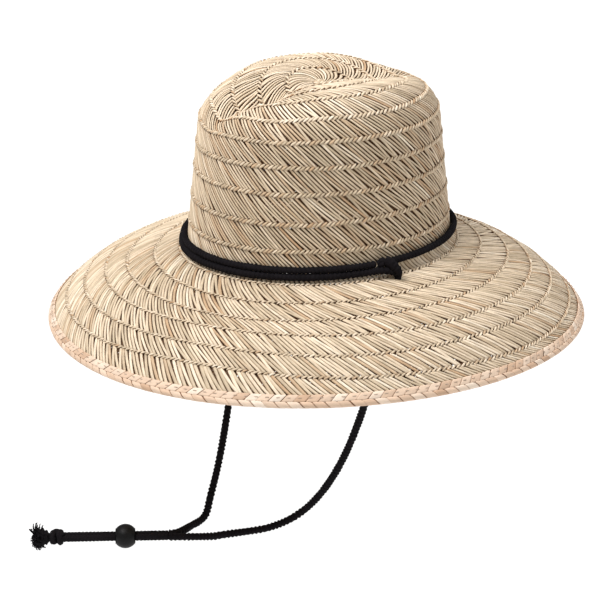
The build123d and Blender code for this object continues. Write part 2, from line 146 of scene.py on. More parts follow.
class Soup:
    """Closed tubes and bands gathered into one mesh, with a bake cell for each."""

    def __init__(self):
        self.points, self.quads, self.tris = [], [], []
        self.quad_uv, self.tri_uv, self.quad_cell, self.tri_cell = [], [], [], []
        self.tone, self.face = [], []
        self.count, self.cells = 0, []
        self.tris.append(np.zeros((0, 3), int))
        self.tri_uv.append(np.zeros((0, 3, 2)))
        self.tri_cell.append(np.zeros((0, 3, 3)))

    def tubes(self, centre, normal, half_w, half_h, ring, tone, rand, square=1.0, bulge=None,
              across=None, face=1.0):
        """Sweeps a rounded section along each row of centre (tubes, stations, 3).

        face is 1 where the section's upper side is seen, -1 where its lower side is; leaf materials
        paint shade on the side not seen.
        """
        n, m = centre.shape[:2]
        along = unit(np.gradient(centre, axis=1))
        across = unit(np.cross(normal, along)) if across is None else unit(across)
        up = unit(np.cross(along, across))
        phi = 2 * np.pi * np.arange(ring) / ring - np.pi / 2
        c, s = np.cos(phi), np.sin(phi)
        seen = np.concatenate([np.tile(face * s, m), [0.0, 0.0]])
        c = np.sign(c) * np.abs(c) ** square
        s = np.sign(s) * np.abs(s) ** square
        half_w = np.broadcast_to(half_w, (n, m))[:, :, None, None]
        half_h = np.broadcast_to(half_h, (n, m))[:, :, None, None]
        offset = across[:, :, None] * half_w * c[:, None] + up[:, :, None] * half_h * s[:, None]
        if bulge is not None:
            offset = offset * bulge[..., None]
        body = centre[:, :, None] + offset
        ends = np.stack([body[:, 0].mean(1), body[:, -1].mean(1)], 1)
        points = np.concatenate([body.reshape(n, -1, 3), ends], 1)
        each = m * ring + 2
        i, k = np.meshgrid(np.arange(m - 1), np.arange(ring), indexing="ij")
        k2 = (k + 1) % ring
        quad = np.stack([i * ring + k, i * ring + k2, (i + 1) * ring + k2, (i + 1) * ring + k], -1)
        quad = quad.reshape(-1, 4)
        around = np.arange(ring)
        nxt = (around + 1) % ring
        head = np.stack([np.full(ring, m * ring), nxt, around], -1)
        last = (m - 1) * ring
        tail = np.stack([np.full(ring, m * ring + 1), last + around, last + nxt], -1)
        tri = np.concatenate([head, tail])
        base = self.count + each * np.arange(n)[:, None, None]
        self.quads.append((quad[None] + base).reshape(-1, 4))
        self.tris.append((tri[None] + base).reshape(-1, 3))
        ku, iv = k.reshape(-1), i.reshape(-1)
        u = np.stack([ku, ku + 1, ku + 1, ku], -1) / ring
        v = np.stack([iv, iv, iv + 1, iv + 1], -1) / (m - 1)
        inside = 1 - 2 * CELL_MARGIN
        cell = np.stack([CELL_MARGIN + inside * u, CELL_MARGIN + inside * v], -1)
        a = around / ring
        top = np.stack([np.stack([a + 0.5 / ring, a + 1 / ring, a], -1), np.zeros((ring, 3))], -1)
        top[:, 1:, 1] = 0.05
        low = np.stack([np.stack([a + 0.5 / ring, a, a + 1 / ring], -1), np.ones((ring, 3))], -1)
        low[:, 1:, 1] = 0.95
        caps = np.concatenate([top, low])
        caps[..., 0] = CELL_MARGIN + inside * caps[..., 0]
        length = np.linalg.norm(np.diff(centre, axis=1), axis=2).sum(1)
        grain = np.stack([np.broadcast_to(u, (n,) + u.shape), v * length[:, None, None]], -1)
        grain = grain + np.stack([rand * 7.0, rand * 53.0], -1)[:, None, None]
        cap_grain = np.broadcast_to(caps, (n,) + caps.shape) + (rand * 7.0)[:, None, None, None]
        first = len(self.cells) and self.cells[-1][1]
        ids = first + np.arange(n)
        self.cells.append((first, first + n))
        self.points.append(points.reshape(-1, 3))
        self.quad_uv.append(grain.reshape(-1, 4, 2))
        self.tri_uv.append(cap_grain.reshape(-1, 3, 2))
        for place, store in ((cell, self.quad_cell), (caps, self.tri_cell)):
            every = np.broadcast_to(place, (n,) + place.shape)
            number = np.broadcast_to(ids[:, None, None, None], every.shape[:3] + (1,))
            placed = np.concatenate([every, number], -1)
            store.append(placed.reshape(-1, *placed.shape[2:]))
        self.tone.append(np.repeat(tone, each))
        self.face.append(np.tile(seen, n))
        self.count += n * each

    def finish(self, name, material, body, nodes, slot, shape=0.33, blend=None):
        """Makes the object. shape is the width over height of one bake cell."""
        points = np.concatenate(self.points) * MM
        quads, tris = np.concatenate(self.quads), np.concatenate(self.tris)
        mesh = bpy.data.meshes.new(name)
        mesh.vertices.add(len(points))
        mesh.vertices.foreach_set("co", points.astype(np.float32).ravel())
        loops = np.concatenate([quads.ravel(), tris.ravel()]).astype(np.int32)
        mesh.loops.add(len(loops))
        mesh.loops.foreach_set("vertex_index", loops)
        starts = np.concatenate(
            [4 * np.arange(len(quads)), 4 * len(quads) + 3 * np.arange(len(tris))]
        )
        mesh.polygons.add(len(starts))
        mesh.polygons.foreach_set("loop_start", starts.astype(np.int32))
        mesh.update(calc_edges=True)
        mesh.polygons.foreach_set("use_smooth", np.ones(len(starts), bool))
        grain = [np.concatenate(uv).reshape(-1, 2) for uv in (self.quad_uv, self.tri_uv)]
        grain = np.concatenate(grain)
        mesh.uv_layers.new(name="grain").data.foreach_set("uv", grain.astype(np.float32).ravel())
        cells = [np.concatenate(cell).reshape(-1, 3) for cell in (self.quad_cell, self.tri_cell)]
        cells = np.concatenate(cells)
        total = self.cells[-1][1]
        columns = max(1, math.ceil(math.sqrt(total / shape)))
        rows = math.ceil(total / columns)
        uv = np.stack(
            [
                (cells[:, 2] % columns + cells[:, 0]) / columns,
                (cells[:, 2] // columns + cells[:, 1]) / rows,
            ],
            -1,
        )
        mesh.uv_layers.new(name="OFBake").data.foreach_set("uv", uv.astype(np.float32).ravel())
        # tone is each strand's own colour; face drives the leaf materials' painted shade
        for key, values in (("tone", self.tone), ("face", self.face)):
            attribute = mesh.attributes.new(key, "FLOAT", "POINT")
            attribute.data.foreach_set("value", np.concatenate(values).astype(np.float32))
        mesh.validate()
        piece = bpy.data.objects.new(name, mesh)
        bpy.context.scene.collection.objects.link(piece)
        mesh.materials.append(material)
        if blend:
            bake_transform(piece)
        else:
            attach(piece, body)
        if nodes:
            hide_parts(*nodes)
        return piece


def ring_soup(soup, loops, tone, face=1.0):
    """Adds a closed band made of loops of points (loops, points, 3), each joined to the next."""
    grid = np.stack(loops)
    m, n = grid.shape[:2]
    i, k = np.meshgrid(np.arange(m), np.arange(n), indexing="ij")
    i2, k2 = (i + 1) % m, (k + 1) % n
    quad = np.stack([i * n + k, i * n + k2, i2 * n + k2, i2 * n + k], -1).reshape(-1, 4)
    soup.quads.append(quad + soup.count)
    step = np.linalg.norm(np.roll(grid, -1, 0) - grid, axis=2).mean(1)
    along = np.concatenate([[0], np.cumsum(step)])
    circle = np.linalg.norm(np.roll(grid, -1, 1) - grid, axis=2).sum(1).mean()
    u = np.stack([along[i], along[i], along[i + 1], along[i + 1]], -1).reshape(-1, 4)
    v = np.stack([k, k + 1, k + 1, k], -1).reshape(-1, 4) / n
    soup.quad_uv.append(np.stack([u, v * circle], -1))
    first = len(soup.cells) and soup.cells[-1][1]
    soup.cells.append((first, first + 1))
    place = [RING_MARGIN + (1 - 2 * RING_MARGIN) * share for share in (u / along[-1], v)]
    soup.quad_cell.append(np.stack([*place, np.full(u.shape, float(first))], -1))
    soup.points.append(grid.reshape(-1, 3))
    soup.tone.append(np.full(m * n, tone))
    soup.face.append(np.full(m * n, face))
    soup.count += m * n


# ---- materials ----
class Nodes:
    """Short hand for one material's node tree."""

    def __init__(self, name):
        self.material = bpy.data.materials.new(name)
        self.material.use_nodes = True
        self.tree = self.material.node_tree
        self.shader = self.tree.nodes["Principled BSDF"]

    def add(self, kind, inputs=None, **settings):
        node = self.tree.nodes.new(kind)
        for key, value in settings.items():
            setattr(node, key, value)
        for key, value in (inputs or {}).items():
            self.set(node.inputs[key], value)
        return node

    def set(self, socket, value):
        if hasattr(value, "is_output"):
            self.tree.links.new(value, socket)
        else:
            socket.default_value = value

    def math(self, operation, a, b=0.0, c=0.0):
        return self.add(
            "ShaderNodeMath", {0: a, 1: b, 2: c}, operation=operation
        ).outputs[0]

    def ramp(self, factor, stops):
        node = self.add("ShaderNodeValToRGB", {"Fac": factor})
        elements = node.color_ramp.elements
        while len(elements) < len(stops):
            elements.new(0.5)
        for element, (at, colour) in zip(elements, stops):
            element.position = at
            element.color = (*colour, 1)
        return node.outputs["Color"]

    def attribute(self, name):
        return self.add("ShaderNodeAttribute", attribute_name=name).outputs["Fac"]

    def uv(self, scale):
        source = self.add("ShaderNodeUVMap", uv_map="grain").outputs["UV"]
        return self.add("ShaderNodeMapping", {"Vector": source, "Scale": scale}).outputs["Vector"]

    def noise(self, vector, scale, detail=3.0, rough=0.5):
        return self.add(
            "ShaderNodeTexNoise",
            {"Vector": vector, "Scale": scale, "Detail": detail, "Roughness": rough},
        ).outputs["Fac"]

    def wave(self, vector, bands, inputs):
        inputs = {"Vector": vector, **inputs}
        return self.add("ShaderNodeTexWave", inputs, bands_direction=bands).outputs["Fac"]

    def mix(self, factor, a, b, blend="MIX"):
        node = self.add("ShaderNodeMix", data_type="RGBA", blend_type=blend)
        self.set(node.inputs[0], factor)
        self.set(node.inputs[6], a)
        self.set(node.inputs[7], b)
        return node.outputs[2]

    def bump(self, height, strength, distance):
        return self.add(
            "ShaderNodeBump", {"Height": height, "Strength": strength, "Distance": distance}
        ).outputs["Normal"]

    def finish(self, **inputs):
        for key, value in inputs.items():
            self.set(self.shader.inputs[key.replace("_", " ")], value)
        return self.material


def leaf_material(name, tones, dark, gap_shade_stops, streak=0.30, rough=0.55):
    """Dried straw or leaf: a tone for each strand, with streaks along it, and painted shade on its
    hidden side.
    """
    n = Nodes(name)
    base = n.ramp(n.attribute("tone"), tones)
    streaks = n.noise(n.uv((9.0, 0.10, 1.0)), 1.0, 4.0, 0.65)
    blotch = n.noise(n.uv((0.9, 0.16, 1.0)), 1.0, 2.0)
    shade = n.math("MULTIPLY_ADD", n.math("SUBTRACT", streaks, 0.5), streak * 2.2, 1.0)
    patch = n.math("MULTIPLY_ADD", n.math("SUBTRACT", blotch, 0.5), 0.5, 1.0)
    shade = n.math("MULTIPLY", shade, patch)
    grey = n.add("ShaderNodeCombineColor", {0: shade, 1: shade, 2: shade}).outputs[0]
    colour = n.mix(1.0, base, grey, "MULTIPLY")
    spots = n.noise(n.uv((3.0, 0.5, 1.0)), 2.0, 2.0)
    spots = n.math("MULTIPLY", n.math("SUBTRACT", spots, 0.64), 5.0)
    spots = n.add("ShaderNodeClamp", {"Value": spots}).outputs[0]
    colour = n.mix(n.math("MULTIPLY", spots, 0.35), colour, (*dark, 1))
    # painted shade: each strand's side that faces the gap between the layers is darkened, as if
    # shaded there
    gap_shade = n.ramp(n.math("MULTIPLY_ADD", n.attribute("face"), 0.5, 0.5), gap_shade_stops)
    colour = n.mix(1.0, colour, gap_shade, "MULTIPLY")
    roughness = n.math("MULTIPLY_ADD", streaks, 0.25, rough - 0.12)
    normal = n.bump(streaks, 0.35, 0.0004)
    return n.finish(
        Base_Color=colour, Roughness=roughness, Normal=normal, Specular_IOR_Level=0.35
    )


STRAW = leaf_material(
    "rush_straw",
    [
        (0.00, (0.55, 0.36, 0.21)),
        (0.12, (0.58, 0.42, 0.27)),
        (0.30, (0.57, 0.455, 0.315)),
        (0.50, (0.69, 0.555, 0.395)),
        (0.75, (0.80, 0.66, 0.495)),
        (1.00, (0.90, 0.79, 0.63)),
    ],
    (0.30, 0.17, 0.09),
    # painted shade: dark brown on the side facing the gap between the layers, none on the side in
    # view
    [(0.0, (0.13, 0.07, 0.035)), (0.5, (0.36, 0.225, 0.135)), (0.84, (1.0, 1.0, 1.0))],
)
PALM = leaf_material(
    "palm_plait",
    [
        (0.00, (0.58, 0.38, 0.25)),
        (0.35, (0.68, 0.48, 0.34)),
        (0.70, (0.76, 0.58, 0.44)),
        (1.00, (0.84, 0.70, 0.57)),
    ],
    (0.42, 0.24, 0.14),
    # painted shade: darker on the side facing under the plait cells, none on the side in view
    [(0.0, (0.30, 0.18, 0.11)), (0.5, (0.52, 0.36, 0.26)), (0.80, (1.0, 1.0, 1.0))],
    streak=0.16,
    rough=0.6,
)


def cord_material():
    n = Nodes("black_braid")
    place = n.add("ShaderNodeTexCoord").outputs["Object"]
    fine = n.noise(place, 1700.0, 3.0, 0.6)
    broad = n.noise(place, 90.0, 2.0)
    level = n.math("ADD", n.math("MULTIPLY", fine, 0.7), n.math("MULTIPLY", broad, 0.3))
    colour = n.ramp(level, [(0.30, (0.0018, 0.0014, 0.0018)), (0.72, (0.0115, 0.009, 0.0115))])
    return n.finish(
        Base_Color=colour,
        Roughness=n.math("MULTIPLY_ADD", fine, 0.15, 0.78),
        Normal=n.bump(fine, 0.5, 0.0003),
        Specular_IOR_Level=0.12,
    )


def thread_material():
    n = Nodes("sewing_thread")
    twist = n.wave(n.uv((2.0, 1.4, 1.0)), "DIAGONAL", {"Scale": 1.0})
    tint = n.attribute("tone")
    colour = n.mix(
        n.math("MULTIPLY_ADD", twist, 0.4, n.math("MULTIPLY", tint, 0.5)),
        (0.34, 0.235, 0.16, 1),
        (0.62, 0.50, 0.40, 1),
    )
    return n.finish(Base_Color=colour, Roughness=0.8, Normal=n.bump(twist, 0.4, 0.0002))


def cloth_material():
    n = Nodes("band_tape")
    place = n.uv((1.0, 1.0, 1.0))
    ribs = n.wave(place, "Y", {"Scale": 0.62, "Distortion": 0.4})
    warp = n.noise(place, 3.0, 2.0)
    weave = n.math("MULTIPLY", ribs, n.math("MULTIPLY_ADD", warp, 0.6, 0.6))
    colour = n.ramp(weave, [(0.0, (0.010, 0.009, 0.010)), (1.0, (0.040, 0.037, 0.040))])
    return n.finish(
        Base_Color=colour,
        Roughness=n.math("MULTIPLY_ADD", warp, 0.12, 0.8),
        Normal=n.bump(weave, 0.5, 0.0003),
        Sheen_Weight=0.3,
    )


def bead_material():
    n = Nodes("matt_bead")
    place = n.add("ShaderNodeTexCoord").outputs["Object"]
    grain = n.noise(place, 2400.0, 2.0)
    wear = n.noise(place, 160.0, 4.0, 0.6)
    colour = n.ramp(wear, [(0.35, (0.0020, 0.0018, 0.0020)), (0.75, (0.0050, 0.0045, 0.0050))])
    return n.finish(
        Base_Color=colour,
        Roughness=n.math("MULTIPLY_ADD", wear, 0.16, 0.42),
        Specular_IOR_Level=0.20,
        Normal=n.bump(grain, 0.25, 0.0001),
    )


CORD, THREAD, CLOTH, BEAD = cord_material(), thread_material(), cloth_material(), bead_material()

# ---- straw weave ----
SHOULDER_END = DOME_RADIUS + SHOULDER_LENGTH
TOP_LEAN, WALL_LEAN, BRIM_LEAN = 41.0, 44.0, 45.0     # degrees a straw leans from the slant line
CROWN_FILL, BRIM_FILL = 0.76, 0.92      # straw's width over its room
# the wall's mean tone is set lower than the top's as painted shade: the sideways crown wall takes
# less light
TOP_PALE, SHADED_WALL_PALE, BRIM_PALE = 0.62, 0.36, 0.52       # mean tone, 0 brown to 1 cream
OUTER_LIFT, OUTER_BOW, INNER_LIFT, INNER_BOW = -1.05, 0.50, -2.25, -0.35    # from the surface
STRAW_HALF_WIDTH, STRAW_HALF_HEIGHT, STRAW_FLATNESS, INNER_FILL = 1.6, 0.95, 0.90, 1.06
CROSS_LIFT, CROSS_HUMP, INNER_CROSS_LIFT, INNER_CROSS_HUMP = -0.70, 0.85, -2.35, -0.95
STRAW_RING, INNER_RING = 8, 6           # points round one straw
SCATTER = 0.035                         # of a straw's place, as a share of the pitch


class Row:
    """Slant of one row of crossings, a little uneven round the hat.

    Each bulge moves the row by shift, in a stretch of the given width round a centre turn.
    """

    def __init__(self, base, bulges=(), unevenness=0.8):
        self.base, self.bulges, self.unevenness = base, bulges, unevenness
        self.phases = rng.uniform(0, 2 * np.pi, 4)

    def __call__(self, turn):
        angle = np.radians(turn)
        waves = sum(np.sin(k * angle + p) / k for k, p in zip((2, 3, 5, 8), self.phases))
        slant = self.base + self.unevenness * waves
        for centre, width, shift in self.bulges:
            slant = slant + shift * bell((turn - centre + 180) % 360 - 180, 0, width)
        return slant


def strand_tones(n, pale, orange=0.035):
    """Tones spread round pale, with a few at the orange end."""
    tone = np.clip(rng.normal(pale, 0.19, n), 0.14, 1.0)
    return np.where(rng.random(n) < orange, rng.uniform(0.0, 0.12, n), tone)


def straw_layer(soup, surface, start, end, count, lean, fill, pale, outer):
    """Parallel straws across one round; the inside layer slants the other way."""
    stations = 10 if outer else 7
    u = np.linspace(0, 1, stations)
    way = 1 if outer else -1
    middle = (start(0) + end(0)) / 2
    turns = 360 * (np.arange(count) + rng.normal(0, SCATTER, count)) / count
    around = np.linalg.norm(surface_frame(surface, turns, np.full(count, middle))[1], axis=1)
    steep = math.tan(math.radians(lean))
    reach = min((end(0) - start(0)) * steep, 0.9 * middle * steep)
    shift = way * np.mean(reach / around)
    sway = rng.normal(0, 0.010, (count, 1)) * shift
    turn = turns[:, None] + shift * (u - 0.5) + sway * (u - 0.5) * 8
    v = 0.025 + 0.95 * u if outer else 1.08 * u - 0.04
    slant = np.maximum(start(turn) * (1 - v) + end(turn) * v, 0.0)
    point, round_way, normal = surface_frame(surface, turn, slant)
    path = np.gradient(point, axis=1)
    gap = round_way * (360 / count)
    side = unit(np.cross(normal, path))
    room = np.abs((gap * side).sum(-1))
    share = rng.normal(fill if outer else INNER_FILL, 0.03, (count, 1))
    half_w = np.minimum(room * 0.5 * share, STRAW_HALF_WIDTH)
    bow = np.sin(np.pi * u)
    if outer:
        lift = OUTER_LIFT + OUTER_BOW * bow**0.7 + rng.normal(0, 0.06, (count, 1))
    else:
        lift = INNER_LIFT + INNER_BOW * bow + rng.normal(0, 0.05, (count, 1))
    centre = point + normal * lift[..., None]
    half_h = np.minimum(half_w * STRAW_FLATNESS, STRAW_HALF_HEIGHT)
    tone = strand_tones(count, pale)
    ring = STRAW_RING if outer else INNER_RING
    soup.tubes(centre, normal, half_w, half_h, ring, tone, rng.random(count), face=way)


def stitch_row(soup, surface, at, count, pale, outer, reach, rise, fat):
    """The crossing where straws pass through to the other face: short leaning grains."""
    stations = 7 if outer else 5
    u = np.linspace(-1, 1, stations)
    turns = 360 * (np.arange(count) + 0.5 + rng.normal(0, SCATTER, count)) / count
    around = np.linalg.norm(surface_frame(surface, turns, at(turns))[1], axis=1)
    way = 1 if outer else -1
    size = rng.normal(1.0, 0.06, (count, 1))
    turn = turns[:, None] + way * reach * size * u / around[:, None]
    slant = np.maximum(at(turn) - rise * size * u + rng.normal(0, 0.12, (count, 1)), 0.3)
    point, _, normal = surface_frame(surface, turn, slant)
    hump = 1 - u**2
    if outer:
        lift = CROSS_LIFT + CROSS_HUMP * hump
    else:
        lift = INNER_CROSS_LIFT + INNER_CROSS_HUMP * hump
    lift = lift + rng.normal(0, 0.05, (count, 1))
    taper = np.maximum(1 - np.abs(u) ** 2.6, 0.10) ** 0.55
    room = 0.60 * around[:, None] * 360 / count
    half_w = np.minimum(fat, room) * taper * size
    tone = np.clip(strand_tones(count, pale) - 0.03, 0, 1)
    centre = point + normal * lift[..., None]
    ring = STRAW_RING if outer else INNER_RING
    soup.tubes(centre, normal, half_w, half_w * 0.85, ring, tone, rng.random(count), face=way)


def straw_count(surface, at, pitch):
    turns = np.arange(0, 360, 3.0)
    around = np.linalg.norm(surface_frame(surface, turns, np.full(len(turns), at))[1], axis=1)
    return int(round(around.mean() * 360 / pitch))


def part_round_holes(points):
    """Straws bend aside round the two cord holes."""
    for sign in (-1, 1):
        away = points[:, :2] - HOLE * (sign, 1)
        distance = np.linalg.norm(away, axis=1, keepdims=True)
        near = (distance < HOLE_REACH) & (points[:, 2:] < 1)
        wider = (distance**4 + HOLE_RADIUS**4) ** 0.25
        points[:, :2] += np.where(near, away * (wider / np.maximum(distance, 0.05) - 1), 0)


# a crossing's grain: its half length round the hat, how far it leans, and its half width
CROWN_GRAIN = dict(reach=2.3, rise=1.7, fat=1.0)
BRIM_GRAIN = dict(reach=2.1, rise=1.25, fat=0.82)
MIDDLE_GRAIN = dict(reach=2.2, rise=1.6, fat=1.4)
MIDDLE_COUNT = 9


def woven_round(
    name, surface, start, end, pitch, lean, fill, pale, node, grain, hole=False, close=False
):
    """One round of the weave, with its inside layer and the crossings at its lower row.

    hole parts the straws round the cord holes; close adds the crossings in the middle of the top.
    """
    soup = Soup()
    count = straw_count(surface, start.base + 0.62 * (end.base - start.base), pitch)
    for outer in (True, False):
        straw_layer(soup, surface, start, end, count, lean, fill, pale, outer)
        if grain:
            stitch_row(soup, surface, end, count, pale, outer, **grain)
        if close:
            stitch_row(soup, surface, start, MIDDLE_COUNT, pale, outer, **MIDDLE_GRAIN)
    if hole:
        soup.points = [np.concatenate(soup.points)]
        part_round_holes(soup.points[0])
    return soup.finish(name, STRAW, "hat", [node], "straw")


CROWN_PITCH, BRIM_PITCH, BRIM_PITCH_STEP = 3.25, 3.45, 0.06     # straw to straw, along a row
HOLE_ROUNDS = 3                         # brim rounds near enough to the cord holes to part


def crown_weave():
    """The last crown round meets the first brim round in one round, with no row between them."""
    rows = [Row(3.0, unevenness=0)]
    rows += [Row(slant) for slant in (24, 43.5, 63, 82, 100, 119.5, 139, 161, 182)]
    rows += [Row(CROWN_SLANT, unevenness=0)]
    for i, (start, end) in enumerate(zip(rows, rows[1:])):
        woven_round(
            f"crown_round_{i + 1:02d}", crown_at, start, end,
            pitch=CROWN_PITCH,
            lean=TOP_LEAN if end.base < SHOULDER_END else WALL_LEAN,
            fill=CROWN_FILL,
            # wall rounds take the lower tone, painted shade for the sideways wall
            pale=TOP_PALE if end.base < SHOULDER_END * 0.8 else SHADED_WALL_PALE,
            node="crown",
            grain=None if end is rows[-1] else CROWN_GRAIN,
            close=not i,
        )


EDGE_INSET = 2.4


class EdgeRow(Row):
    """The row hidden under the binding, which follows the brim's edge."""

    def __call__(self, turn):
        return edge_slant(turn) - EDGE_INSET


def brim_weave():
    rows = [
        Row(0.0, unevenness=0),
        Row(10.8, unevenness=0.4),
        Row(31.5, [(35, 30, 2.0), (140, 30, -2.0)]),
        Row(52.8, [(35, 30, 2.0), (140, 30, -2.0)]),
        Row(71.2, [(36, 26, -2.6)]),
        Row(89.7, [(36, 26, -4.0)]),
        Row(108.3, [(36, 24, -6.0), (115, 20, 3.0)]),
        EdgeRow(BRIM_SLANT - EDGE_INSET),
    ]
    for i, (start, end) in enumerate(zip(rows, rows[1:])):
        woven_round(
            f"brim_round_{i + 1}", brim_at, start, end,
            pitch=BRIM_PITCH + BRIM_PITCH_STEP * i,
            lean=BRIM_LEAN,
            fill=BRIM_FILL,
            pale=BRIM_PALE,
            node="brim",
            grain=None if end is rows[-1] else BRIM_GRAIN,
            hole=i < HOLE_ROUNDS,
        )


crown_weave()
brim_weave()


# ---- edge binding ----
BINDING_REACH, BINDING_LIFT = 6.6, 1.2
WRAP_RADIUS = STRAW_LAYERS / 2 + BINDING_LIFT
WRAP_NOSE = math.pi * WRAP_RADIUS
WRAP = 2 * BINDING_REACH + WRAP_NOSE
PLAIT_CELLS, PLAIT_THICKNESS = 148, 0.36
PLAIT_EDGES = [0.1, 5.3, 10.9, 16.4, WRAP - 0.1]        # borders between the rows of cells
THREAD_COUNT, THREAD_AT, THREAD_LIFT, THREAD_LENGTH, THREAD_RADIUS = 168, 2.4, 0.16, 3.4, 0.30


def wrap_at(turn, w):
    """Points on the folded binding: w runs over the top, round the edge and back below."""
    turn, w = np.broadcast_arrays(turn, np.asarray(w, float))
    bend = np.clip((w - BINDING_REACH) / WRAP_RADIUS, 0, math.pi)
    slant = edge_slant(turn) - BINDING_REACH + np.clip(w, 0, BINDING_REACH)
    slant = slant - np.clip(w - BINDING_REACH - WRAP_NOSE, 0, None)
    point, _, normal = surface_frame(brim_at, turn, slant)
    outward = unit(brim_at(turn, slant) - brim_at(turn, slant - 0.5))
    middle = point - normal * (STRAW_LAYERS / 2)
    way = normal * np.cos(bend)[..., None] + outward * np.sin(bend)[..., None]
    return middle + way * WRAP_RADIUS


def wrap_frame(turn, w, lift):
    point = wrap_at(turn, w)
    round_way = (wrap_at(turn + 0.2, w) - wrap_at(turn - 0.2, w)) / 0.4
    along = wrap_at(turn, w + 0.2) - wrap_at(turn, w - 0.2)
    normal = unit(np.cross(along, round_way))
    return point + normal * lift[..., None], round_way, normal


def plait_row(soup, start, end, way, offset):
    """One row of the plait: flat leaf cells that lean one way and tuck under the next row."""
    count = PLAIT_CELLS
    u = np.linspace(0, 1, 9)
    turns = 360 * (np.arange(count) + offset + rng.normal(0, 0.02, count)) / count
    reach = (end - start) * 0.90
    around = np.linalg.norm(surface_frame(brim_at, turns, edge_slant(turns))[1], axis=1)
    turn = turns[:, None] + way * reach * (u - 0.5) / around[:, None]
    w = np.broadcast_to(start + (end - start) * u, turn.shape)
    lift = -0.52 + 0.30 * np.sin(np.pi * u) ** 0.5 + rng.normal(0, 0.03, (count, 1))
    point, round_way, normal = wrap_frame(turn, w, np.broadcast_to(lift, turn.shape))
    half_w = around[:, None] * 180 / count * 0.985 * np.minimum(1, 0.86 + 0.5 * np.sin(np.pi * u))
    tone = np.clip(rng.normal(0.52, 0.20, count), 0, 1)
    soup.tubes(
        point, normal, half_w, PLAIT_THICKNESS, 12, tone, rng.random(count),
        square=0.5, across=round_way,
    )


def binding():
    soup = Soup()
    for i, (start, end) in enumerate(zip(PLAIT_EDGES, PLAIT_EDGES[1:])):
        plait_row(soup, start, end, 1 if i % 2 else -1, 0.5 * (i % 2))
    turns = np.linspace(0, 360, 241)[:-1]
    outer_w, inner_w = np.linspace(0.4, WRAP - 0.4, 22), np.linspace(WRAP - 0.4, 0.4, 8)
    loops = [(w, -0.66) for w in outer_w] + [(w, -1.05) for w in inner_w]
    loops = [wrap_frame(turns, np.full(len(turns), w), np.full(len(turns), h))[0] for w, h in loops]
    # the band under the plait cells takes the darkest tone and face -0.4: painted shade where the
    # cells cover it
    ring_soup(soup, loops, 0.0, face=-0.4)
    return soup.finish("binding_plait", PALM, "hat", ["rim_binding"], "palm_plait", shape=0.8)


def dashes(name, points, ways, normals, length, radius, node):
    """Short thread stitches that dip in at both ends."""
    soup = Soup()
    u = np.linspace(-1, 1, 7)
    centre = points[:, None] + ways[:, None] * (u * length / 2)[None, :, None]
    centre = centre + normals[:, None] * (radius * (0.35 - 1.3 * u**4))[None, :, None]
    taper = np.maximum(1 - np.abs(u) ** 5, 0.25)
    count = len(points)
    normal = np.broadcast_to(normals[:, None], centre.shape)
    half = radius * taper
    soup.tubes(centre, normal, half, half, 8, rng.random(count), rng.random(count))
    return soup.finish(name, THREAD, "hat", [node], "thread", shape=0.4)


def binding_thread():
    turns = np.arange(THREAD_COUNT) * 360 / THREAD_COUNT
    at, lift = np.full(THREAD_COUNT, THREAD_AT), np.full(THREAD_COUNT, THREAD_LIFT)
    point, way, normal = wrap_frame(turns, at, lift)
    dashes(
        "binding_thread", point, unit(way), normal, THREAD_LENGTH, THREAD_RADIUS,
        "binding_stitches",
    )


binding()
binding_thread()


# ---- sweatband ----
BAND_LOW, BAND_HIGH, BAND_OUTER, BAND_INNER = 1.5, 31.0, 3.35, 4.75
BAND_DASHES, DASH_HEIGHT, DASH_INSET, DASH_LENGTH, DASH_RADIUS = 64, 5.0, 4.9, 4.0, 0.42


def band_at(turn, height, inset):
    shrink = 1 - TAPER / MEAN * height / WALL_TOP
    angle = np.radians(turn)
    x = (HALF_WIDTH * shrink - inset) * np.sin(angle)
    y = -(HALF_LENGTH * shrink - inset) * np.cos(angle)
    return np.stack([x, y, np.broadcast_to(height, x.shape)], -1)


def sweatband():
    soup = Soup()
    low, high, outer, inner = BAND_LOW, BAND_HIGH, BAND_OUTER, BAND_INNER
    turns = np.linspace(0, 360, 361)[:-1]
    heights = np.linspace(low + 0.7, high - 0.7, 14)
    section = [(h, inner + 0.25 * math.sin(math.pi * (h - low) / (high - low))) for h in heights]
    section += [(high - 0.15, inner - 0.3), (high, (inner + outer) / 2), (high - 0.15, outer + 0.3)]
    section += [(h, outer) for h in heights[::-3]]
    section += [(low + 0.15, outer + 0.3), (low, (inner + outer) / 2), (low + 0.15, inner - 0.3)]
    ripple = 0.12 * np.sin(np.radians(turns) * 23) + 0.08 * np.sin(np.radians(turns) * 57 + 1)
    loops = [band_at(turns, h, i + ripple * (1 if i > 4 else 0)) for h, i in section]
    ring_soup(soup, loops, 0.5)
    return soup.finish("sweatband_tape", CLOTH, "hat", ["sweatband"], "band_cloth", shape=1.0)


def sweatband_thread():
    turns = np.arange(BAND_DASHES) * 360 / BAND_DASHES
    point = band_at(turns, DASH_HEIGHT, DASH_INSET)
    ahead = band_at(turns + 0.5, DASH_HEIGHT, DASH_INSET)
    inward = unit(-point * (1, 1, 0))
    dashes(
        "sweatband_thread", point, unit(ahead - point), inward, DASH_LENGTH, DASH_RADIUS,
        "sweatband_stitches",
    )


sweatband()
sweatband_thread()


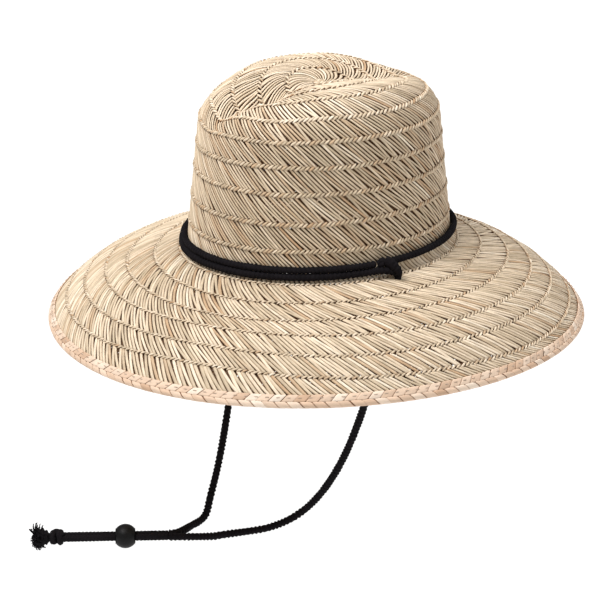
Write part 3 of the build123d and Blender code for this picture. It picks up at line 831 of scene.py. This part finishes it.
# ---- cords ----
CORD_RADIUS, CROWN_CORD_RADIUS = 2.6, 2.4
UPPER_RUN, UPPER_HEIGHT = 2.6, 2.2
LOWER_RUN, LOWER_HEIGHT = 3.8, -2.8
KNOT = np.array([HALF_WIDTH + 4.7, 0.0, 4.2])
PIVOT_HEIGHT, PIVOT_GAP = -17.0, 0.2
TAIL = np.array([-4.7, -135.7, -229.6])
TAIL_WAY = unit(np.array([-0.4665, -0.8845, 0.0]))
TAIL_SIDE = unit(np.array([0.8845, -0.4665, 0.0]))
TAIL_UP = np.array([0.0, 0.0, 1.0])
TAIL_SPACING = 2.7                      # of the strands' ends, as in the CAD
TAIL_LENGTH, END_KNOT_AT, TASSEL_AT, BEAD_AT = 77.5, 82.6, 90.4, 30.5
RISE_TOP, BEND_WAY = -7.4, np.array([-1.2, -5.5, 4.4])  # the lower run's rise through its hole
JOIN_TURN = 82.0                        # from here forward it follows the crown
BEAD_RADIUS, BEAD_HALF_LENGTH, BORE_RADIUS, MOUTH_ROUND = 9.4, 7.5, 5.45, 0.9
STRAND_FATNESS, STRAND_FLOOR_ROOM = 1.04, 1.25          # shares of the cord's radius
TAIL_BRAID_SPACING, TAIL_BRAID_RADIUS = 2.45, 2.50      # leaves the bead's bore free
SIDE_KNOT_RADIUS, END_KNOT_RADIUS = 1.85, 2.35          # of the cord drawn tight in a knot
BRAID_STRANDS, BRAID_PITCH, LUMP_PITCH = 4, 5.6, 3.3
YARNS, YARN_RADIUS, YARN_CURL_START = 430, 0.68, 0.3
FLOOR = TAIL[2] - BEAD_RADIUS           # the bead rests on it


def clamped_spline(points, first, last, step=0.45):
    """Smooth curve through points with given end directions, at even steps."""
    points = np.asarray(points, float)
    span = np.linalg.norm(np.diff(points, axis=0), axis=1)
    n = len(points)
    system, right = np.eye(n), np.zeros((n, 3))
    right[0], right[-1] = unit(np.asarray(first, float)), unit(np.asarray(last, float))
    for i in range(1, n - 1):
        system[i, i - 1 : i + 2] = span[i], 2 * (span[i - 1] + span[i]), span[i - 1]
        before = (points[i] - points[i - 1]) / span[i - 1]
        after = (points[i + 1] - points[i]) / span[i]
        right[i] = 3 * (span[i] * before + span[i - 1] * after)
    slope = np.linalg.solve(system, right)
    parts = []
    for i in range(n - 1):
        t = np.linspace(0, 1, max(int(span[i] / 0.2), 4), endpoint=i == n - 2)[:, None]
        h = span[i]
        parts.append(
            (1 + 2 * t) * (1 - t) ** 2 * points[i] + t * (1 - t) ** 2 * h * slope[i]
            + t * t * (3 - 2 * t) * points[i + 1] + t * t * (t - 1) * h * slope[i + 1]
        )
    return even(np.concatenate(parts), step)


def even(path, step=0.45):
    length = np.concatenate([[0], np.cumsum(np.linalg.norm(np.diff(path, axis=0), axis=1))])
    at = np.linspace(0, length[-1], max(int(length[-1] / step), 4))
    return np.stack([np.interp(at, length, path[:, k]) for k in range(3)], -1)


def carried_normals(path):
    """Normals that don't twist along the path."""
    along = unit(np.gradient(path, axis=0))
    start = np.cross(along[0], (0.3, 0.2, 1.0))
    normals = [unit(start)]
    for way in along[1:]:
        last = normals[-1]
        normals.append(unit(last - way * (last @ way)))
    return np.array(normals)


def braid(soup, path, radius, flat=1.0, ring=32, lump=0.06):
    """A braided cord: a dense tube whose surface carries crossing strands."""
    path = np.asarray(path)
    normals = carried_normals(path)
    length = np.concatenate([[0], np.cumsum(np.linalg.norm(np.diff(path, axis=0), axis=1))])
    turn = 2 * np.pi * np.arange(ring) / ring
    round_way, travel = BRAID_STRANDS * turn[None, :], 2 * np.pi * length[:, None] / BRAID_PITCH * 2
    a, b = round_way + travel, round_way - travel
    over = 0.5 + 0.5 * np.sin((a + b) / 2)
    relief = over * np.abs(np.cos(a / 2)) ** 0.7 + (1 - over) * np.abs(np.cos(b / 2)) ** 0.7
    lumps = np.sin(2 * np.pi * length / LUMP_PITCH + 0.9 * np.sin(length / 5.0))
    wobble = 1 + (lump * lumps + 0.02 * np.sin(length / 9.0))[:, None]
    bulge = (0.88 + 0.20 * relief) * wobble
    bulge[0], bulge[-1] = 0.72 * bulge[0], 0.72 * bulge[-1]
    soup.tubes(
        path[None], normals[None], radius, np.multiply(radius, flat), ring,
        np.array([0.5]), rng.random(1), bulge=bulge[None],
    )


def cord_piece(name, paths, radius, body, nodes, blend=None, lump=0.10):
    soup = Soup()
    for path in paths:
        braid(soup, path, radius, lump=lump)
    return soup.finish(name, CORD, body, nodes, "cord", shape=0.05, blend=blend)


def oval(turns, run, height):
    angle = np.radians(turns)
    x = (HALF_WIDTH + run) * np.sin(angle)
    y = -(HALF_LENGTH + run) * np.cos(angle)
    return np.stack([x, y, np.broadcast_to(height, x.shape)], -1)


def wrapped(centre, axis, side, up, radius, turns, pitch, start=0.0):
    """Coils of a knot round an axis."""
    angle = np.linspace(start, start + turns * 2 * np.pi, int(turns * 60))
    travel = (angle - angle.mean()) * pitch
    return even(
        centre
        + axis * travel[:, None]
        + side * (radius * np.cos(angle))[:, None]
        + up * (radius * np.sin(angle))[:, None]
    )


def crown_cords():
    turns = np.linspace(93.2, 446.8, 1500)
    cord_piece("crown_cord_braid", [even(oval(turns, UPPER_RUN, UPPER_HEIGHT))],
               CROWN_CORD_RADIUS, "hat", ["crown_cord"])
    here = oval(JOIN_TURN, LOWER_RUN, LOWER_HEIGHT)
    past = oval(JOIN_TURN - 0.5, LOWER_RUN, LOWER_HEIGHT)
    heading = unit(past - here)
    x, y, top = HOLE[0], HOLE[1], RISE_TOP
    bottom = PIVOT_HEIGHT + CORD_RADIUS + PIVOT_GAP
    mirror = np.array([-1, 1, 1])
    rise_end = np.array([x, y, top])
    bend = clamped_spline([rise_end, rise_end + BEND_WAY, here], (0, 0, 1), heading)
    rise = np.linspace((x, y, bottom), (x, y, top), 16)[:-1]
    front = oval(np.linspace(JOIN_TURN, -JOIN_TURN, 1400), LOWER_RUN, LOWER_HEIGHT)[1:-1]
    path = np.concatenate([rise, bend, front, bend[::-1] * mirror, rise[::-1] * mirror])
    cord_piece("lower_cord_braid", [even(path)], CORD_RADIUS, "hat", ["chin_cord_crown_run"])


def side_knot():
    axis, out, up = np.array([0, 1.0, 0]), np.array([1.0, 0, 0]), np.array([0, 0, 1.0])
    coil = wrapped(KNOT + (-0.6, 0, -1.0), axis, out, up, 1.9, 1.6, 0.70, start=-2.2)
    cross = clamped_spline(
        KNOT + np.array([(-1.9, -4.4, -2.0), (1.2, -1.3, 1.0), (1.8, 1.6, -1.2), (0.2, 3.4, -2.4)]),
        (0.5, 1, 0.6), (-0.4, 0.6, -0.5),
    )
    cord_piece("side_knot_braid", [coil, cross], SIDE_KNOT_RADIUS, "hat", ["side_knot"])
    tail = clamped_spline(
        KNOT + np.array([(1.4, 1.2, 0.2), (5.0, 4.6, -2.4), (8.2, 7.4, -6.6), (9.6, 9.0, -11.0)]),
        (1, 0.6, 0.1), (0.2, 0.4, -1),
    )
    along = np.linspace(0, 1, len(tail))
    width = 3.9 - 0.7 * along - 2.6 * along**4
    soup = Soup()
    braid(soup, tail, width, flat=0.80)
    soup.finish("side_knot_end", CORD, "hat", ["side_knot_tail"], "cord", shape=0.05)


def strand_end(side):
    return TAIL - TAIL_WAY * (CORD_RADIUS + PIVOT_GAP) + TAIL_SIDE * side * TAIL_SPACING


# each strand's side, the way it leaves its hole, and the points it passes
CHIN_STRANDS = {
    "left": (
        1, (-0.22, -0.05, -1),
        [(71.5, -2, -119.5), (42.5, -14.5, -191.5), (16, -38.5, -232.4), (13.2, -60, -236),
         (5, -99, -235.6)],
    ),
    "right": (
        -1, (0.18, -0.30, -1),
        [(-67.5, -38.5, -125.5), (-34, -76.5, -208.5), (-29.4, -84.6, -226), (-27.4, -88.2, -233),
         (-23.4, -94.6, -235), (-17, -106, -234)],
    ),
}


def chin_strands():
    top = PIVOT_HEIGHT + CORD_RADIUS + PIVOT_GAP
    for name, (side, first, points) in CHIN_STRANDS.items():
        pivot = (side * HOLE[0], HOLE[1], PIVOT_HEIGHT)
        path = clamped_spline([pivot, *points, strand_end(side)], first, TAIL_WAY)
        above = np.linspace((pivot[0], pivot[1], top), pivot, 6)[:-1]
        path = np.concatenate([above, path])
        path[:, 2] = np.maximum(path[:, 2], FLOOR + CORD_RADIUS * STRAND_FLOOR_ROOM)
        radius = CORD_RADIUS * STRAND_FATNESS
        cord_piece(
            f"chin_strand_{name}", [even(path)], radius, None, [f"chin_cord_{name}"],
            blend=("hat", "chin_cord", (0, 0, top * MM), (0, 0, (PIVOT_HEIGHT - 7) * MM)),
        )


def tail_cords():
    start = TAIL - TAIL_WAY * (CORD_RADIUS + PIVOT_GAP)
    for name, side in (("left", 1), ("right", -1)):
        along = np.linspace(0, TAIL_LENGTH + 4.5, 180)
        path = start + TAIL_WAY * along[:, None] + TAIL_SIDE * side * TAIL_BRAID_SPACING
        cord_piece(
            f"tail_strand_{name}", [even(path)], TAIL_BRAID_RADIUS, None, [f"tail_cord_{name}"],
            blend=("chin_cord", "cord_tail", tuple(start * MM), tuple((TAIL + TAIL_WAY * 5) * MM)),
            lump=0.02,
        )


def end_knot():
    centre = TAIL + TAIL_WAY * END_KNOT_AT
    loops = []
    for shift, lean, radius, start in ((-1.6, 0.30, 3.7, 0.6), (3.0, -0.35, 3.3, 2.4)):
        tilt = unit(TAIL_WAY + lean * TAIL_SIDE)
        side = unit(np.cross(TAIL_UP, tilt))
        loops.append(
            wrapped(centre + TAIL_WAY * shift, tilt, side, TAIL_UP, radius, 1.15, 0.30, start=start)
        )
    cross = clamped_spline(
        [centre - TAIL_WAY * 3 + TAIL_SIDE * 2, centre + TAIL_UP * 3.8 - TAIL_WAY * 1.0,
         centre + TAIL_UP * 3.6 + TAIL_WAY * 2.2 - TAIL_SIDE * 1.6,
         centre + TAIL_WAY * 5.8 - TAIL_SIDE * 1.4],
        TAIL_WAY + TAIL_UP, TAIL_WAY - TAIL_UP,
    )
    core = even(np.linspace(centre - TAIL_WAY * 3, centre + TAIL_WAY * 5.6, 20))
    paths = [*loops, cross, core]
    cord_piece("end_knot_braid", paths, END_KNOT_RADIUS, "cord_tail", ["end_knot"], lump=0.04)


def tassel():
    """Frayed yarns that leave the knot straight, then curl outwards round a soft core."""
    soup = Soup()
    count, stations = YARNS, 11
    root = TAIL + TAIL_WAY * (TASSEL_AT - 3.4)
    past_pivot = TAIL + TAIL_WAY * (TASSEL_AT + 5)
    u = np.linspace(0, 1, stations)
    angle = rng.uniform(0, 2 * np.pi, count)
    spread = np.sqrt(rng.random(count))
    way = np.cos(angle)[:, None] * TAIL_SIDE + np.sin(angle)[:, None] * TAIL_UP
    straight = rng.uniform(4.0, 10.0, count)
    curl = rng.uniform(3.6, 6.0, count) * (0.50 + 0.50 * spread)
    bend = rng.uniform(0.9, 2.5, count)[:, None] * np.clip((u - YARN_CURL_START) / 0.7, 0, 1)
    out = np.clip(u / YARN_CURL_START, 0, 1)
    forward = straight[:, None] * out + curl[:, None] * np.sin(bend)
    sideways = 1.6 * (spread[:, None] * out) + curl[:, None] * (1 - np.cos(bend))
    swirl = rng.normal(0, 1.5, (count, 3))
    centre = root + TAIL_WAY * forward[..., None] + way[:, None] * sideways[..., None]
    centre = centre + swirl[:, None] * (u**2)[None, :, None]
    centre[..., 2] = np.maximum(centre[..., 2], FLOOR + 0.6 + 0.6 * rng.random((count, 1)))
    normal = np.broadcast_to(unit(np.cross(TAIL_WAY, way) + 0.01)[:, None], centre.shape)
    thick = YARN_RADIUS * (1 - 0.40 * u)[None, :] * rng.uniform(0.7, 1.15, (count, 1))
    soup.tubes(centre, normal, thick, thick, 6, rng.random(count), rng.random(count))
    heart = even(np.linspace(root, root + TAIL_WAY * 16.0, 20))
    swell = np.sin(np.pi * np.linspace(0.02, 1, len(heart)))
    braid(soup, heart, 1.0 + 5.4 * swell, lump=0.10)
    soup.finish(
        "tassel_yarns", CORD, None, ["tassel"], "cord", shape=0.3,
        blend=("cord_tail", "tassel", tuple(root * MM), tuple(past_pivot * MM)),
    )


def bead():
    """Ball with flat faces and a rounded bore mouth, turned as one closed section."""
    ball, half, bore, soft = BEAD_RADIUS, BEAD_HALF_LENGTH, BORE_RADIUS, MOUTH_ROUND
    face = math.sqrt(ball**2 - half**2)
    edge = math.atan2(half, face)
    curve = np.linspace(-edge + 0.12, edge - 0.12, 24)
    section = [(ball * math.cos(a), ball * math.sin(a)) for a in curve]
    section += [(face - 0.25, half - 0.05)]
    mouth = [(bore + soft - soft * math.sin(a), half - soft + soft * math.cos(a))
             for a in np.linspace(0, math.pi / 2, 6)]
    section += mouth
    section += [(r, -h) for r, h in mouth[::-1]]
    section += [(face - 0.25, -half + 0.05)]
    centre = TAIL + TAIL_WAY * BEAD_AT
    angle = np.linspace(0, 2 * np.pi, 65)[:-1]
    way = np.cos(angle)[:, None] * TAIL_SIDE + np.sin(angle)[:, None] * TAIL_UP
    soup = Soup()
    ring_soup(soup, [centre + TAIL_WAY * h + way * r for r, h in section], 0.5)
    return soup.finish("slider_ball", BEAD, "bead", ["slider_bead"], "bead", shape=1.0)


crown_cords()
side_knot()
chin_strands()
tail_cords()
end_knot()
tassel()
bead()

# ---- set ----
CAMERA_TURN, CAMERA_RISE, CAMERA_DISTANCE = math.radians(60.0), math.radians(19.9), 1.78
VIEW_WIDTH = 0.460              # metres across the picture, at the origin
ORIGIN_RIGHT, ORIGIN_UP = 0.0328, 0.1192
SKY_LIGHT = 0.32                # share of full white
# degrees round from the front, degrees up, metres away, metres wide, watts
LAMPS = {
    "key": (2, 64, 2.2, 1.2, 50),
    "back_light": (200, 60, 2.4, 1.2, 14),
    "fill": (112, 34, 2.6, 1.4, 8),
}
FLOOR_HALF_WIDTH = 30.0         # metres
SENSOR_WIDTH = 36.0             # millimetres


def plain_floor():
    """A floor that glows at full white, so that no shadow shows on it."""
    mesh = bpy.data.meshes.new("floor")
    size, z = FLOOR_HALF_WIDTH, FLOOR * MM
    square = [(-size, -size, z), (size, -size, z), (size, size, z), (-size, size, z)]
    mesh.from_pydata(square, [], [(0, 1, 2, 3)])
    floor = bpy.data.objects.new("floor", mesh)
    bpy.context.scene.collection.objects.link(floor)
    n = Nodes("pale_floor")
    mesh.materials.append(
        n.finish(
            Base_Color=(0.12, 0.12, 0.12, 1),
            Roughness=0.9,
            Emission_Color=(1, 1, 1, 1),
            Emission_Strength=1.0,
        )
    )


def area_light(name, azimuth, elevation, distance, size, power):
    data = bpy.data.lights.new(name, "AREA")
    data.shape, data.size, data.energy = "DISK", size, power
    lamp = bpy.data.objects.new(name, data)
    bpy.context.scene.collection.objects.link(lamp)
    a, e = math.radians(azimuth), math.radians(elevation)
    way = np.array([math.sin(a) * math.cos(e), -math.cos(a) * math.cos(e), math.sin(e)])
    lamp.location = way * distance
    aim(lamp, way)


def aim(thing, back):
    """Points the thing's -Z along -back, its Y upwards."""
    thing.rotation_euler = Vector(back).to_track_quat("Z", "Y").to_euler()


def camera():
    data = bpy.data.cameras.new("camera")
    data.sensor_width = SENSOR_WIDTH
    data.lens = SENSOR_WIDTH * CAMERA_DISTANCE / VIEW_WIDTH
    data.shift_x, data.shift_y = -ORIGIN_RIGHT, -ORIGIN_UP
    data.clip_end = 100
    thing = bpy.data.objects.new("camera", data)
    bpy.context.scene.collection.objects.link(thing)
    e, a = CAMERA_RISE, CAMERA_TURN
    back = np.array([math.sin(a) * math.cos(e), -math.cos(a) * math.cos(e), math.sin(e)])
    thing.location = back * CAMERA_DISTANCE
    aim(thing, back)
    bpy.context.scene.camera = thing


def lights():
    for name, lamp in LAMPS.items():
        area_light(name, *lamp)
    world = bpy.data.worlds.new("studio")
    world.use_nodes = True
    # white where the camera sees it, dimmer as a light
    tree = world.node_tree
    seen = tree.nodes.new("ShaderNodeLightPath").outputs["Is Camera Ray"]
    strength = tree.nodes.new("ShaderNodeMath")
    strength.operation = "MULTIPLY_ADD"
    tree.links.new(seen, strength.inputs[0])
    strength.inputs[1].default_value = 1.0 - SKY_LIGHT
    strength.inputs[2].default_value = SKY_LIGHT
    tree.nodes["Background"].inputs[0].default_value = (1, 1, 1, 1)
    tree.links.new(strength.outputs[0], tree.nodes["Background"].inputs[1])
    bpy.context.scene.world = world
    bpy.context.scene.view_settings.view_transform = "Standard"


plain_floor()
camera()
lights()
